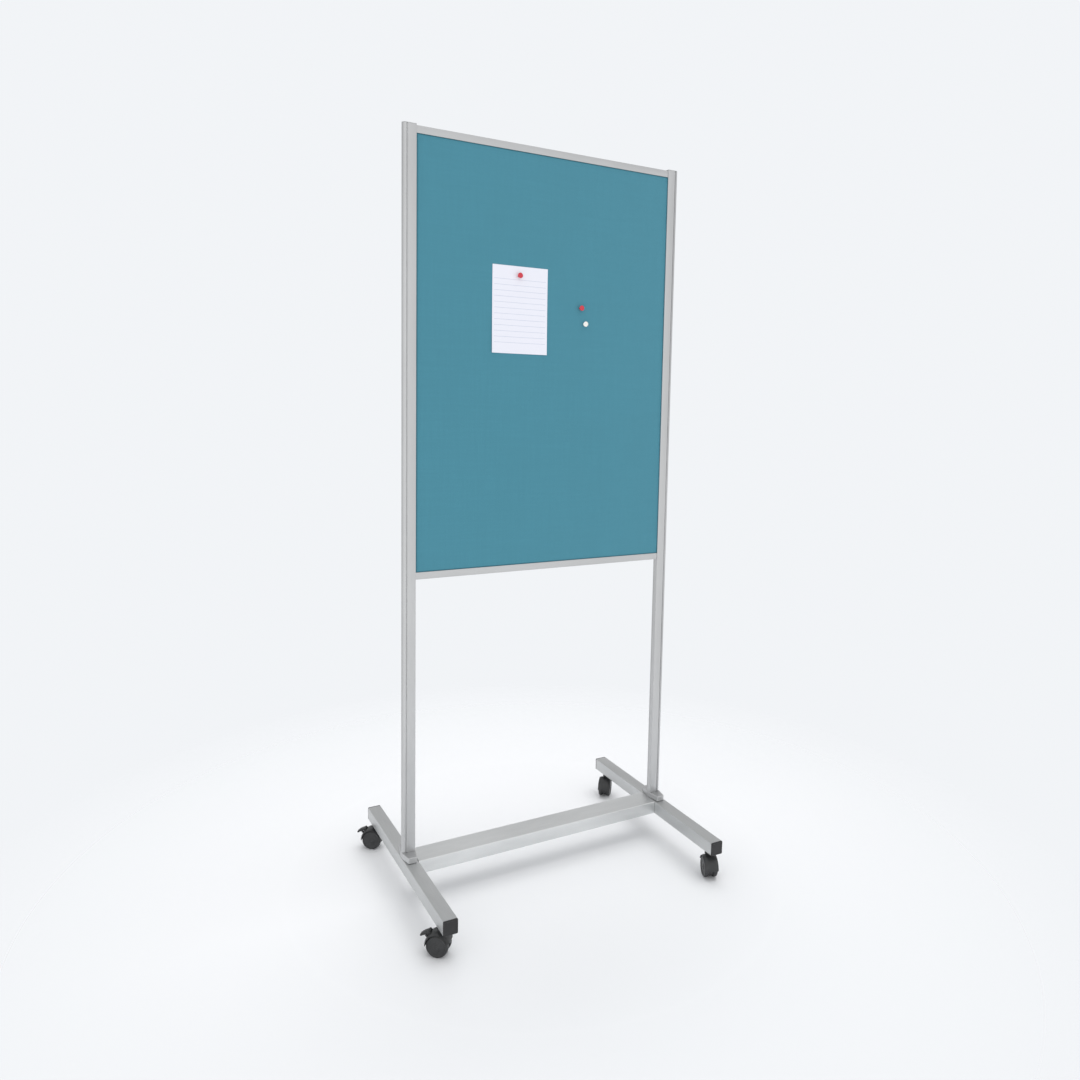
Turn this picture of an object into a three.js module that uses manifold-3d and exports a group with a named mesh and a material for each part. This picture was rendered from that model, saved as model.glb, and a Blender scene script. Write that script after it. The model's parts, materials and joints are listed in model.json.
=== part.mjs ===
// Mobile double-sided board: fabric pinboard on the front (-Y), whiteboard on the back (+Y),
// held between two extruded posts on a welded H-shaped base with four twin-wheel castors.
// Millimetres, +Z up, origin on the floor under the middle of the bounding box.

import * as THREE from 'three';
import { mergeVertices } from 'three/addons/utils/BufferGeometryUtils.js';
import Module from 'manifold-3d';

const wasm = await Module();
wasm.setup();

// ---------------------------------------------------------------- driving dimensions

const GAP = 0.3; // air left between touching pieces

// The board is drawn about the midpoint of its feet. Both left castors trail outwards, so this
// much to the right brings the middle of the bounding box over the origin.
const SHIFT_RIGHT = 13;

const POST_X = 427; // post and foot centre lines, either side of the middle
const TUBE_WALL = 2;
const TUBE_CORNER = 3;

const FOOT_SIZE = 40; // square tube
const FOOT_LENGTH = 700; // over the end caps
const FOOT_BOTTOM = 78;
const FOOT_TOP = FOOT_BOTTOM + FOOT_SIZE;
const BEAM_DEPTH = 80; // rectangular tube, as high as the feet
const END_CAP_FLANGE = 4;
const END_CAP_PLUG = 12;

const SHOE_HEIGHT = 18;
const SHOE_TOE_Y = 46;
const SHOE_TOE_HALF = 12.5;
const SHOE_WAIST_Y = 10;
const SHOE_HALF = 19.5;
const BOLT_RADIUS = 5;

const POST_BOTTOM = FOOT_TOP + GAP + SHOE_HEIGHT + GAP;
const POST_TOP = 2170;
const POST_CAP_PLATE = 1.7;
const POST_HALF_DEPTH = 10.5; // in Y
const POST_INNER = -18.5; // face towards the board, measured outwards from the centre line
const POST_NOSE_START = 9.5; // where the flat faces meet the rounded outer nose
const POST_NOSE_REACH = 10;
const POST_WALL = 2;
const GROOVE_HALF = 6.8; // slot that takes the edge of the board
const GROOVE_BOTTOM = -9.5;
const STRIP_FACE = -18.2; // snap-in strip that closes the groove below the board
const STRIP_HALF = GROOVE_HALF - GAP;
const STRIP_WALL = 1.5;
const FLUTE_X = 5.6; // fine decorative flute on both flat faces
const FLUTE_HALF = 0.7;
const FLUTE_DEPTH = 0.8;

const RAIL_HEIGHT = 20;
const RAIL_HALF_DEPTH = 9;
const RAIL_WALL = 2;
const BOTTOM_RAIL_Z = 933; // underside of the bottom rail
const TOP_RAIL_Z = 2168; // top of the top rail

const BOARD_HALF_WIDTH = 417;
const BOARD_BOTTOM = BOTTOM_RAIL_Z + RAIL_WALL + GAP;
const BOARD_TOP = TOP_RAIL_Z - RAIL_WALL - GAP;
const BOARD_FRONT = -6.5;
const FABRIC = 0.9;
const SOFTBOARD = 8;
const BACKING = 2;
const WHITE_SHEET = 0.8;

const NOTE = { x: -96, top: 1826, width: 176, height: 250, thickness: 0.4 };
const PINS = [
  { name: 'note_pin', x: -100.6, z: 1799.5, finish: 'pin_red', overPaper: true },
  { name: 'upper_pin', x: 104.8, z: 1721, finish: 'pin_red', overPaper: false },
  { name: 'lower_pin', x: 119.5, z: 1674.5, finish: 'pin_white', overPaper: false },
];
const PIN_RADIUS = 8;
const NEEDLE_RADIUS = 0.6;
const NEEDLE_HOLE = NEEDLE_RADIUS + GAP;

const WHEEL_RADIUS = 30;
const WHEEL_INNER = 6.9; // wheel's inner and outer faces along the axle
const WHEEL_OUTER = 20.5;
const AXLE_RADIUS = 4;
const CASTOR_Y = 307; // swivel axis from the middle of the foot
const CASTOR_OFFSET = 16; // wheel axle from the swivel axis
const HOOD_INNER = 31.5;
const HOOD_OUTER = 35.5; // at the crown; the side edges are lower
const HOOD_EDGE = 32.4;
const HOOD_CROWN_HALF = 10;
const HOOD_HALF_WIDTH = 21.5;
const HOOD_FROM = 0; // degrees about the axle, from the closed side over the top
const HOOD_TO = 160;
const HOOD_TOP = 70;
const WEB_HALF = 6.2;
const WEB_DISC = 26; // radius of the plate between the wheels, away from its fan
const STEM_RADIUS = 5;
const STEM_NECK = 4;
const STEM_FOOT = 42;
const STEM_TOP = 106;
const COLLAR_RADIUS = 9;
const SOCKET_RADIUS = 8;
const SOCKET_FLANGE = 3;
const LEVER_ANGLE = 50; // where the brake lever pivots, degrees about the axle
const LEVER_REACH = 39.6; // pivot from the axle
const LEVER_HALF_WIDTH = 6;
const HUB_RADIUS = 3.4;
const STUB_RADIUS = 2.5;
const LUG_INNER = 7;
const LUG_OUTER = 9.5;
const LUG_RADIUS = 3.9;
const PRONG_ANGLE = 36;
const PRONG_TIP = 31.6; // lower end of a prong from the axle
const PRONG_HALF = 2.2;
const PRONG_WIDTH = 6;
const PRONG_Y = 8;

// heading: the way the closed side of the hood points, degrees from +X about +Z
const CASTORS = [
  { name: 'front_left', x: -POST_X, y: -CASTOR_Y, heading: 141, brake: true },
  { name: 'rear_left', x: -POST_X, y: CASTOR_Y, heading: 146, brake: true },
  { name: 'front_right', x: POST_X, y: -CASTOR_Y, heading: 248, brake: false },
  { name: 'rear_right', x: POST_X, y: CASTOR_Y, heading: 230, brake: false },
];

// ---------------------------------------------------------------- finishes

const FINISHES = {
  aluminium: { color: 0xc4c5c6, roughness: 0.38, metalness: 0.85 },
  silver_paint: { color: 0xc2c4c4, roughness: 0.42, metalness: 0.6 },
  steel: { color: 0x9a9ca0, roughness: 0.3, metalness: 0.9 },
  black_plastic: { color: 0x252527, roughness: 0.45, metalness: 0 },
  castor_grey: { color: 0x3a3b3c, roughness: 0.55, metalness: 0 },
  grey_plastic: { color: 0xb9bbbc, roughness: 0.5, metalness: 0 },
  teal_fabric: { color: 0x4f8b9c, roughness: 0.95, metalness: 0 },
  fibreboard: { color: 0xb99f76, roughness: 0.9, metalness: 0 },
  white_enamel: { color: 0xf1f2f2, roughness: 0.12, metalness: 0 },
  paper: { color: 0xe8eaf2, roughness: 0.85, metalness: 0 },
  pin_red: { color: 0xc8203a, roughness: 0.25, metalness: 0 },
  pin_white: { color: 0xf2f2ee, roughness: 0.25, metalness: 0 },
};

// ---------------------------------------------------------------- geometry helpers

// turns a section drawn in X and Y into one in Y and Z, run along X
const ALONG_X = new THREE.Matrix4().makeBasis(
  new THREE.Vector3(0, 1, 0), new THREE.Vector3(0, 0, 1), new THREE.Vector3(1, 0, 0),
);

const whiteboard = new THREE.Group();
whiteboard.name = 'rolling_whiteboard';

function addPart(parent, name, finish, geometry, x = 0, y = 0, z = 0) {
  const mesh = new THREE.Mesh(geometry, new THREE.MeshStandardMaterial(FINISHES[finish]));
  mesh.name = name;
  mesh.position.set(x, y, z);
  parent.add(mesh);
  return mesh;
}

// Runs a section drawn in X and Y up +Z from z = 0.
function upright(shape, height, curveSegments = 3) {
  return new THREE.ExtrudeGeometry(shape, { depth: height, bevelEnabled: false, curveSegments });
}

// Runs a section drawn in Y and Z along X, centred on x = 0.
function lengthwise(shape, length) {
  return upright(shape, length).translate(0, 0, -length / 2).applyMatrix4(ALONG_X);
}

// Runs a section drawn in X and Z along Y, centred on y = 0.
function sideways(shape, width, curveSegments) {
  return upright(shape, width, curveSegments).translate(0, 0, -width / 2).rotateX(Math.PI / 2);
}

// Closed outline through the points, always drawn anticlockwise.
function outline(points) {
  const corners = points.map(([x, y]) => new THREE.Vector2(x, y));
  if (THREE.ShapeUtils.isClockWise(corners)) corners.reverse();
  return new THREE.Shape(corners);
}

function roundedRectangle(width, height, radius) {
  const [right, top] = [width / 2 - radius, height / 2 - radius];
  const shape = new THREE.Shape();
  shape.absarc(right, -top, radius, -Math.PI / 2, 0);
  shape.absarc(right, top, radius, 0, Math.PI / 2);
  shape.absarc(-right, top, radius, Math.PI / 2, Math.PI);
  shape.absarc(-right, -top, radius, Math.PI, Math.PI * 1.5);
  shape.closePath();
  return shape;
}

function rectangle(xLow, xHigh, yLow, yHigh) {
  return outline([[xLow, yLow], [xHigh, yLow], [xHigh, yHigh], [xLow, yHigh]]);
}

function roundHole(x, y, radius) {
  return new THREE.Path().absarc(x, y, radius, 0, Math.PI * 2, true);
}

// Turns a profile of radius and height about +Z.
function turned(profile, segments = 16) {
  const points = profile.map(([radius, height]) => new THREE.Vector2(radius, height));
  return new THREE.LatheGeometry(points, segments).rotateX(Math.PI / 2);
}

function rod(radius, zLow, zHigh, segments = 16) {
  return turned([[0, zLow], [radius, zLow], [radius, zHigh], [0, zHigh]], segments);
}

// Makes a boolean solid of a geometry: shared corners are merged and empty triangles dropped.
function solid(geometry) {
  const bare = geometry.clone();
  bare.deleteAttribute('normal');
  bare.deleteAttribute('uv');
  const merged = mergeVertices(bare, 1e-4);
  const corners = merged.index.array;
  const kept = [];
  for (let i = 0; i < corners.length; i += 3) {
    const [a, b, c] = corners.slice(i, i + 3);
    if (a !== b && b !== c && c !== a) kept.push(a, b, c);
  }
  return new wasm.Manifold(new wasm.Mesh({
    numProp: 3,
    vertProperties: new Float32Array(merged.attributes.position.array),
    triVerts: new Uint32Array(kept),
  }));
}

// Joins the first list of geometries and cuts the second list away.
function carved(joined, cut = []) {
  let body = solid(joined[0]);
  for (const piece of joined.slice(1)) body = body.add(solid(piece));
  for (const piece of cut) body = body.subtract(solid(piece));
  const mesh = body.getMesh();
  const geometry = new THREE.BufferGeometry();
  geometry.setAttribute('position', new THREE.BufferAttribute(mesh.vertProperties, 3));
  geometry.setIndex(new THREE.BufferAttribute(mesh.triVerts, 1));
  geometry.computeVertexNormals();
  return geometry;
}

// ---------------------------------------------------------------- base

function tubeSection(width, height) {
  const section = roundedRectangle(width, height, TUBE_CORNER);
  const [innerWidth, innerHeight] = [width - 2 * TUBE_WALL, height - 2 * TUBE_WALL];
  section.holes.push(roundedRectangle(innerWidth, innerHeight, TUBE_CORNER - TUBE_WALL));
  return section;
}

function buildFoot(side, name) {
  const tubeLength = FOOT_LENGTH - 2 * (END_CAP_FLANGE + GAP);
  const tube = sideways(tubeSection(FOOT_SIZE, FOOT_SIZE), tubeLength);
  const boltHole = rod(BOLT_RADIUS + GAP, -FOOT_SIZE, FOOT_SIZE);
  const socketHoles = [-1, 1].map((end) => (
    rod(SOCKET_RADIUS + GAP, -FOOT_SIZE, 0).translate(0, end * CASTOR_Y, 0)
  ));
  const middleZ = FOOT_BOTTOM + FOOT_SIZE / 2;
  const foot = carved([tube], [boltHole, ...socketHoles]);
  addPart(whiteboard, `${name}_foot_tube`, 'silver_paint', foot, side * POST_X, 0, middleZ);

  const bore = FOOT_SIZE - 2 * TUBE_WALL - 2 * GAP;
  const flange = sideways(roundedRectangle(FOOT_SIZE, FOOT_SIZE, TUBE_CORNER), END_CAP_FLANGE);
  const plug = sideways(roundedRectangle(bore, bore, TUBE_CORNER - TUBE_WALL), END_CAP_PLUG);
  for (const [end, word] of [[-1, 'front'], [1, 'rear']]) {
    const inward = -end * (END_CAP_FLANGE / 2 + END_CAP_PLUG / 2 - 0.5);
    const cap = carved([flange, plug.clone().translate(0, inward, 0)]);
    const capY = end * (FOOT_LENGTH - END_CAP_FLANGE) / 2;
    addPart(whiteboard, `${name}_foot_${word}_cap`, 'black_plastic', cap, side * POST_X, capY, middleZ);
  }
}

function buildCrossBeam() {
  const length = 2 * (POST_X - FOOT_SIZE / 2 - GAP);
  const beam = lengthwise(tubeSection(BEAM_DEPTH, FOOT_SIZE), length);
  addPart(whiteboard, 'cross_beam', 'silver_paint', beam, 0, 0, FOOT_BOTTOM + FOOT_SIZE / 2);
}

// Tapered block on top of the foot that carries the post, with the bolt that ties all three.
function buildShoe(side, name) {
  const plan = outline([
    [-SHOE_TOE_HALF, -SHOE_TOE_Y], [SHOE_TOE_HALF, -SHOE_TOE_Y],
    [SHOE_HALF, -SHOE_WAIST_Y], [SHOE_HALF, SHOE_WAIST_Y],
    [SHOE_TOE_HALF, SHOE_TOE_Y], [-SHOE_TOE_HALF, SHOE_TOE_Y],
    [-SHOE_HALF, SHOE_WAIST_Y], [-SHOE_HALF, -SHOE_WAIST_Y],
  ]);
  plan.holes.push(roundHole(0, 0, BOLT_RADIUS + GAP));
  const x = side * POST_X;
  addPart(whiteboard, `${name}_post_shoe`, 'aluminium', upright(plan, SHOE_HEIGHT, 8), x, 0, FOOT_TOP + GAP);

  const headHeight = 6.4;
  const headRadius = 9.8;
  const shankTop = POST_BOTTOM + 38;
  const head = turned([[0, 0], [headRadius, 0], [headRadius, headHeight], [0, headHeight]], 6);
  const shank = rod(BOLT_RADIUS, headHeight / 2, shankTop - FOOT_BOTTOM + GAP + headHeight);
  const headZ = FOOT_BOTTOM - GAP - headHeight;
  addPart(whiteboard, `${name}_post_bolt`, 'steel', carved([head, shank]), x, 0, headZ);

  const block = rectangle(GROOVE_BOTTOM + 2.3, POST_NOSE_START, -8.2, 8.2);
  block.holes.push(roundHole(0, 0, BOLT_RADIUS + GAP));
  const nut = upright(block, 14, 8);
  if (side < 0) nut.rotateZ(Math.PI);
  addPart(whiteboard, `${name}_post_nut_block`, 'steel', nut, x, 0, POST_BOTTOM + 12);
}

// ---------------------------------------------------------------- posts

// Rounded outer nose, from the front flat round to the back flat.
function nosePoints(side, inset) {
  const points = [];
  const steps = 12;
  for (let i = 0; i <= steps; i += 1) {
    const angle = -Math.PI / 2 + (Math.PI * i) / steps;
    const x = POST_NOSE_START + (POST_NOSE_REACH - inset) * Math.cos(angle);
    points.push([side * x, (POST_HALF_DEPTH - inset) * Math.sin(angle)]);
  }
  return points;
}

function flutePoints(y) {
  const inward = y - Math.sign(y) * FLUTE_DEPTH;
  return [[FLUTE_X - FLUTE_HALF, y], [FLUTE_X, inward], [FLUTE_X + FLUTE_HALF, y]];
}

function postSection(side) {
  const mirror = ([x, y]) => [side * x, y];
  const section = outline([
    ...[[POST_INNER, -GROOVE_HALF], [POST_INNER, -POST_HALF_DEPTH]].map(mirror),
    ...flutePoints(-POST_HALF_DEPTH).map(mirror),
    ...nosePoints(side, 0),
    ...flutePoints(POST_HALF_DEPTH).reverse().map(mirror),
    ...[[POST_INNER, POST_HALF_DEPTH], [POST_INNER, GROOVE_HALF]].map(mirror),
    ...[[GROOVE_BOTTOM, GROOVE_HALF], [GROOVE_BOTTOM, -GROOVE_HALF]].map(mirror),
  ]);
  const hollowStart = GROOVE_BOTTOM + POST_WALL;
  const hollowHalf = POST_HALF_DEPTH - POST_WALL;
  section.holes.push(outline([
    mirror([hollowStart, -hollowHalf]), ...nosePoints(side, POST_WALL), mirror([hollowStart, hollowHalf]),
  ]));
  return section;
}

function buildPost(side, name) {
  const x = side * POST_X;
  const post = upright(postSection(side), POST_TOP - POST_BOTTOM);
  addPart(whiteboard, `${name}_post`, 'aluminium', post, x, 0, POST_BOTTOM);

  const lid = outline([
    [side * POST_INNER, -POST_HALF_DEPTH], ...nosePoints(side, 0), [side * POST_INNER, POST_HALF_DEPTH],
  ]);
  const tongue = rectangle(side * (GROOVE_BOTTOM + 2.5), side * POST_NOSE_START, -8, 8);
  const plug = upright(tongue, 12).translate(0, 0, -11.5);
  const cap = carved([upright(lid, POST_CAP_PLATE), plug]);
  addPart(whiteboard, `${name}_post_cap`, 'grey_plastic', cap, x, 0, POST_TOP + GAP);
}

function buildGrooveStrip(side, name) {
  const [face, web, legEnd] = [STRIP_FACE, STRIP_FACE + STRIP_WALL, GROOVE_BOTTOM - GAP];
  const inner = STRIP_HALF - STRIP_WALL;
  const section = outline([
    [face, -STRIP_HALF], [legEnd, -STRIP_HALF], [legEnd, -inner], [web, -inner],
    [web, inner], [legEnd, inner], [legEnd, STRIP_HALF], [face, STRIP_HALF],
  ].map(([x, y]) => [side * x, y]));
  const strip = upright(section, BOARD_BOTTOM - GAP - POST_BOTTOM);
  addPart(whiteboard, `${name}_groove_strip`, 'aluminium', strip, side * POST_X, 0, POST_BOTTOM);
}

// ---------------------------------------------------------------- board

// Channel section, drawn in Y and Z with its web at z = 0 and its legs towards +Z.
function channelSection() {
  const [half, inner] = [RAIL_HALF_DEPTH, RAIL_HALF_DEPTH - RAIL_WALL];
  return outline([
    [-half, 0], [half, 0], [half, RAIL_HEIGHT], [inner, RAIL_HEIGHT],
    [inner, RAIL_WALL], [-inner, RAIL_WALL], [-inner, RAIL_HEIGHT], [-half, RAIL_HEIGHT],
  ]);
}

function buildRails() {
  const length = 2 * (POST_X + POST_INNER - GAP);
  const rail = lengthwise(channelSection(), length);
  addPart(whiteboard, 'bottom_rail', 'aluminium', rail, 0, 0, BOTTOM_RAIL_Z);
  addPart(whiteboard, 'top_rail', 'aluminium', rail.clone().rotateX(Math.PI), 0, 0, TOP_RAIL_Z);
}

// One full-size layer of the board, its front face at the given y, pierced where the pins go in.
function addLayer(name, finish, front, thickness, pierced) {
  const sheet = rectangle(-BOARD_HALF_WIDTH, BOARD_HALF_WIDTH, BOARD_BOTTOM, BOARD_TOP);
  if (pierced) {
    for (const pin of PINS) sheet.holes.push(roundHole(pin.x, pin.z, NEEDLE_HOLE));
  }
  const layer = upright(sheet, thickness).rotateX(Math.PI / 2).translate(0, thickness, 0);
  addPart(whiteboard, name, finish, layer, 0, front, 0);
  return front + thickness + GAP;
}

function buildBoard() {
  let front = addLayer('pinboard_fabric', 'teal_fabric', BOARD_FRONT, FABRIC, true);
  front = addLayer('softboard', 'fibreboard', front, SOFTBOARD, true);
  front = addLayer('backing_board', 'fibreboard', front, BACKING, false);
  addLayer('whiteboard_sheet', 'white_enamel', front, WHITE_SHEET, false);
}

// ---------------------------------------------------------------- note and push pins

function buildNote() {
  const half = NOTE.width / 2;
  const page = rectangle(NOTE.x - half, NOTE.x + half, NOTE.top - NOTE.height, NOTE.top);
  page.holes.push(roundHole(PINS[0].x, PINS[0].z, NEEDLE_HOLE));
  const sheet = upright(page, NOTE.thickness).rotateX(Math.PI / 2);
  addPart(whiteboard, 'note_paper', 'paper', sheet, 0, BOARD_FRONT - GAP, 0);
}

// Head and needle, turned about the line that the pin is pushed in along.
function buildPin({ name, x, z, finish, overPaper }) {
  const base = BOARD_FRONT - GAP - (overPaper ? NOTE.thickness + GAP : 0);
  const head = turned([
    [0, 3], [NEEDLE_HOLE, 3], [NEEDLE_HOLE, 0], [4.5, 0], [4.7, 1], [3.4, 2.2], [3.2, 5.2],
    [5.4, 7.2], [PIN_RADIUS, 8.4], [PIN_RADIUS, 10], [6.2, 11.2], [0, 11.6],
  ]).rotateX(Math.PI / 2);
  addPart(whiteboard, `${name}_head`, finish, head, x, base, z);
  const needle = turned([[0, -9.3], [NEEDLE_RADIUS, -8], [NEEDLE_RADIUS, 2.7], [0, 2.7]], 8);
  addPart(whiteboard, `${name}_needle`, 'steel', needle.rotateX(Math.PI / 2), x, base, z);
}

// ---------------------------------------------------------------- castors

const radians = THREE.MathUtils.degToRad;

// Point at a radius and an angle about the axle, from the castor's own +X towards +Z.
function aboutAxle(radius, degrees) {
  const angle = radians(degrees);
  return [CASTOR_OFFSET + radius * Math.cos(angle), WHEEL_RADIUS + radius * Math.sin(angle)];
}

// Crowned roof over both wheels: a full ring, less the wedge that is left open.
function hoodRoof() {
  const half = HOOD_HALF_WIDTH;
  const outer = [[HOOD_EDGE, half], [HOOD_OUTER - 0.9, half - 4.5], [HOOD_OUTER, HOOD_CROWN_HALF]];
  const section = [
    [HOOD_INNER, -half], ...outer.map(([radius, y]) => [radius, -y]), ...outer.reverse(),
    [HOOD_INNER, half], [HOOD_INNER, -half],
  ];
  const ring = turned(section, 48).rotateX(Math.PI / 2).translate(CASTOR_OFFSET, 0, WHEEL_RADIUS);
  const wedge = [[CASTOR_OFFSET, WHEEL_RADIUS]];
  for (let i = 0; i <= 4; i += 1) {
    wedge.push(aboutAxle(2 * HOOD_OUTER, HOOD_TO + (i * (360 + HOOD_FROM - HOOD_TO)) / 4));
  }
  return carved([ring], [sideways(outline(wedge), 2 * half + 2)]);
}

// Middle plate between the two wheels: a fan up to the roof and a disc about the axle.
function webPlate() {
  const [start, end] = [radians(40), radians(170)];
  const shape = new THREE.Shape();
  shape.absarc(CASTOR_OFFSET, WHEEL_RADIUS, HOOD_INNER + 1, start, end);
  shape.absarc(CASTOR_OFFSET, WHEEL_RADIUS, WEB_DISC, end, start + Math.PI * 2);
  shape.closePath();
  return shape;
}

function axleRod(radius, halfLength) {
  return rod(radius, -halfLength, halfLength).rotateX(Math.PI / 2);
}

// Tab that rises from the roof and holds one end of the lever's stub pins.
function leverLug(sideSign) {
  const [x, z] = aboutAxle(LEVER_REACH, LEVER_ANGLE);
  const shape = new THREE.Shape();
  shape.moveTo(...aboutAxle(HOOD_INNER + 2, LEVER_ANGLE - 8));
  shape.absarc(x, z, LUG_RADIUS, radians(LEVER_ANGLE - 90), radians(LEVER_ANGLE + 90));
  shape.lineTo(...aboutAxle(HOOD_INNER + 2, LEVER_ANGLE + 8));
  shape.closePath();
  const middle = sideSign * (LUG_INNER + LUG_OUTER) / 2;
  return sideways(shape, LUG_OUTER - LUG_INNER).translate(0, middle, 0);
}

// Block across the roof at the prongs' angle, from one radius to another.
function prongBlock(sideSign, from, to, width, thickness) {
  const [x, z] = aboutAxle((from + to) / 2, PRONG_ANGLE);
  const block = new THREE.BoxGeometry(to - from, width, thickness).rotateY(-radians(PRONG_ANGLE));
  return block.translate(x, sideSign * PRONG_Y, z);
}

function buildHood(castor, name, brake) {
  const joined = [hoodRoof(), sideways(webPlate(), 2 * WEB_HALF, 12), rod(10, 60.4, HOOD_TOP)];
  const cut = [
    rod(STEM_NECK + GAP, STEM_FOOT - GAP, HOOD_TOP + 5),
    axleRod(AXLE_RADIUS + GAP, 10).translate(CASTOR_OFFSET, 0, WHEEL_RADIUS),
  ];
  if (brake) {
    const [x, z] = aboutAxle(LEVER_REACH, LEVER_ANGLE);
    joined.push(leverLug(-1), leverLug(1));
    cut.push(axleRod(STUB_RADIUS + GAP, 20).translate(x, 0, z));
    for (const sideSign of [-1, 1]) {
      cut.push(prongBlock(sideSign, HOOD_INNER - 4, HOOD_OUTER + 4, PRONG_WIDTH + 1.2, 2 * PRONG_HALF + 2));
    }
  }
  addPart(castor, `${name}_castor_hood`, 'castor_grey', carved(joined, cut));
}

// Foot pedal on two stub pins, with two prongs that reach the treads through the hood.
function buildBrakeLever(castor, name) {
  const [x, z] = aboutAxle(LEVER_REACH, LEVER_ANGLE);
  const pedal = sideways(outline([
    [38.5, 64.9], [44, 64.3], [52, 60.9], [60, 55.9], [65.4, 50.9], [66.4, 48.9], [65.2, 47.1],
    [62.5, 47.2], [56, 50.6], [49.5, 51.8], [46.5, 54.5], [x, z],
  ]), 2 * LEVER_HALF_WIDTH);
  const hub = axleRod(HUB_RADIUS, LUG_INNER - GAP).translate(x, 0, z);
  const stubs = axleRod(STUB_RADIUS, LUG_OUTER).translate(x, 0, z);
  const prongs = [-1, 1].map((sideSign) => (
    prongBlock(sideSign, PRONG_TIP, HOOD_OUTER + 5.5, PRONG_WIDTH, 2 * PRONG_HALF)
  ));
  addPart(castor, `${name}_brake_lever`, 'castor_grey', carved([pedal, hub, stubs, ...prongs]));
}

function buildWheels(castor, name) {
  const [disc, blindEnd] = [WHEEL_OUTER - 1.2, WHEEL_OUTER - 3.8];
  const profile = [
    [0, blindEnd], [AXLE_RADIUS + GAP, blindEnd], [AXLE_RADIUS + GAP, WHEEL_INNER],
    [27.5, WHEEL_INNER], [WHEEL_RADIUS, 9.2], [WHEEL_RADIUS, WHEEL_OUTER - 3.5],
    [28, WHEEL_OUTER - 0.6], [25.5, WHEEL_OUTER], [24, disc], [6, disc], [0, WHEEL_OUTER - 0.6],
  ];
  for (const [number, turn] of [[1, -Math.PI / 2], [2, Math.PI / 2]]) {
    const wheel = turned(profile, 24).rotateX(turn);
    addPart(castor, `${name}_wheel_${number}`, 'castor_grey', wheel, CASTOR_OFFSET, 0, WHEEL_RADIUS);
  }
  const axle = axleRod(AXLE_RADIUS, blindEnd - GAP);
  addPart(castor, `${name}_castor_axle`, 'steel', axle, CASTOR_OFFSET, 0, WHEEL_RADIUS);
}

function buildCastor({ name, x, y, heading, brake }) {
  const castor = new THREE.Group();
  castor.position.set(x, y, 0);
  castor.rotation.z = radians(heading);
  whiteboard.add(castor);

  const flangeTop = FOOT_BOTTOM - GAP;
  const flangeBottom = flangeTop - SOCKET_FLANGE;
  const socket = turned([
    [STEM_RADIUS + GAP, flangeBottom], [13, flangeBottom], [13, flangeTop], [SOCKET_RADIUS, flangeTop],
    [SOCKET_RADIUS, STEM_TOP - 2], [STEM_RADIUS + GAP, STEM_TOP - 2], [STEM_RADIUS + GAP, flangeBottom],
  ]);
  addPart(castor, `${name}_castor_socket`, 'black_plastic', socket);
  const collarTop = flangeBottom - GAP;
  const stem = turned([
    [0, STEM_FOOT], [STEM_NECK, STEM_FOOT], [STEM_NECK, HOOD_TOP + GAP], [COLLAR_RADIUS, HOOD_TOP + GAP],
    [COLLAR_RADIUS, collarTop], [STEM_RADIUS, collarTop], [STEM_RADIUS, STEM_TOP], [0, STEM_TOP],
  ]);
  addPart(castor, `${name}_castor_stem`, 'steel', stem);
  buildHood(castor, name, brake);
  buildWheels(castor, name);
  if (brake) buildBrakeLever(castor, name);
}

// ---------------------------------------------------------------- assembly

for (const [side, name] of [[-1, 'left'], [1, 'right']]) {
  buildFoot(side, name);
  buildShoe(side, name);
  buildPost(side, name);
  buildGrooveStrip(side, name);
}
buildCrossBeam();
buildRails();
buildBoard();
buildNote();
PINS.forEach(buildPin);
CASTORS.forEach(buildCastor);
whiteboard.position.x = SHIFT_RIGHT;

export default whiteboard;
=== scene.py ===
"""Mobile double-sided board: its looks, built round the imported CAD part, in the part's own frame."""

import json
import math

import bmesh
import bpy
from mathutils import Matrix, Vector

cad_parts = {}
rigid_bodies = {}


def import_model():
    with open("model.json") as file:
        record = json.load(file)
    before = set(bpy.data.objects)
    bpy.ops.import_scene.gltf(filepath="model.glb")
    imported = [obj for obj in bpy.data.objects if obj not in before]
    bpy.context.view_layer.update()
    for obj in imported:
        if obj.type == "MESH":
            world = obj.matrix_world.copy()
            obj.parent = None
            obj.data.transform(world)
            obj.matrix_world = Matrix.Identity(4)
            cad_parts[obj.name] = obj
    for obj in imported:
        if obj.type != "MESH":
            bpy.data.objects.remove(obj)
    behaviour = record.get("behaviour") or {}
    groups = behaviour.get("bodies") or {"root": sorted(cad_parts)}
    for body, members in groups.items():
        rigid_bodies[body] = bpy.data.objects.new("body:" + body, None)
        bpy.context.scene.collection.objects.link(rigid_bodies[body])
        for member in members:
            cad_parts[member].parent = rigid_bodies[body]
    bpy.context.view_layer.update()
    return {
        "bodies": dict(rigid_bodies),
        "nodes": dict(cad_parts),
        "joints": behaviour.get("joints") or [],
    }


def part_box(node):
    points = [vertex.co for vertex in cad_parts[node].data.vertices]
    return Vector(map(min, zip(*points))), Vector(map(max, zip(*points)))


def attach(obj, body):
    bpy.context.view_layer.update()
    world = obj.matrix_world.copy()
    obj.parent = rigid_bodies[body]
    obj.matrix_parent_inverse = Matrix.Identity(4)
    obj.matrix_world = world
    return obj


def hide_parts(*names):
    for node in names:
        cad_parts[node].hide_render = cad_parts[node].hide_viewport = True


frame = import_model()

MM = 0.001
FORWARD_FACE = -1  # the fabric side looks along -Y

# ---------------------------------------------------------------- sizes, in metres

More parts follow.
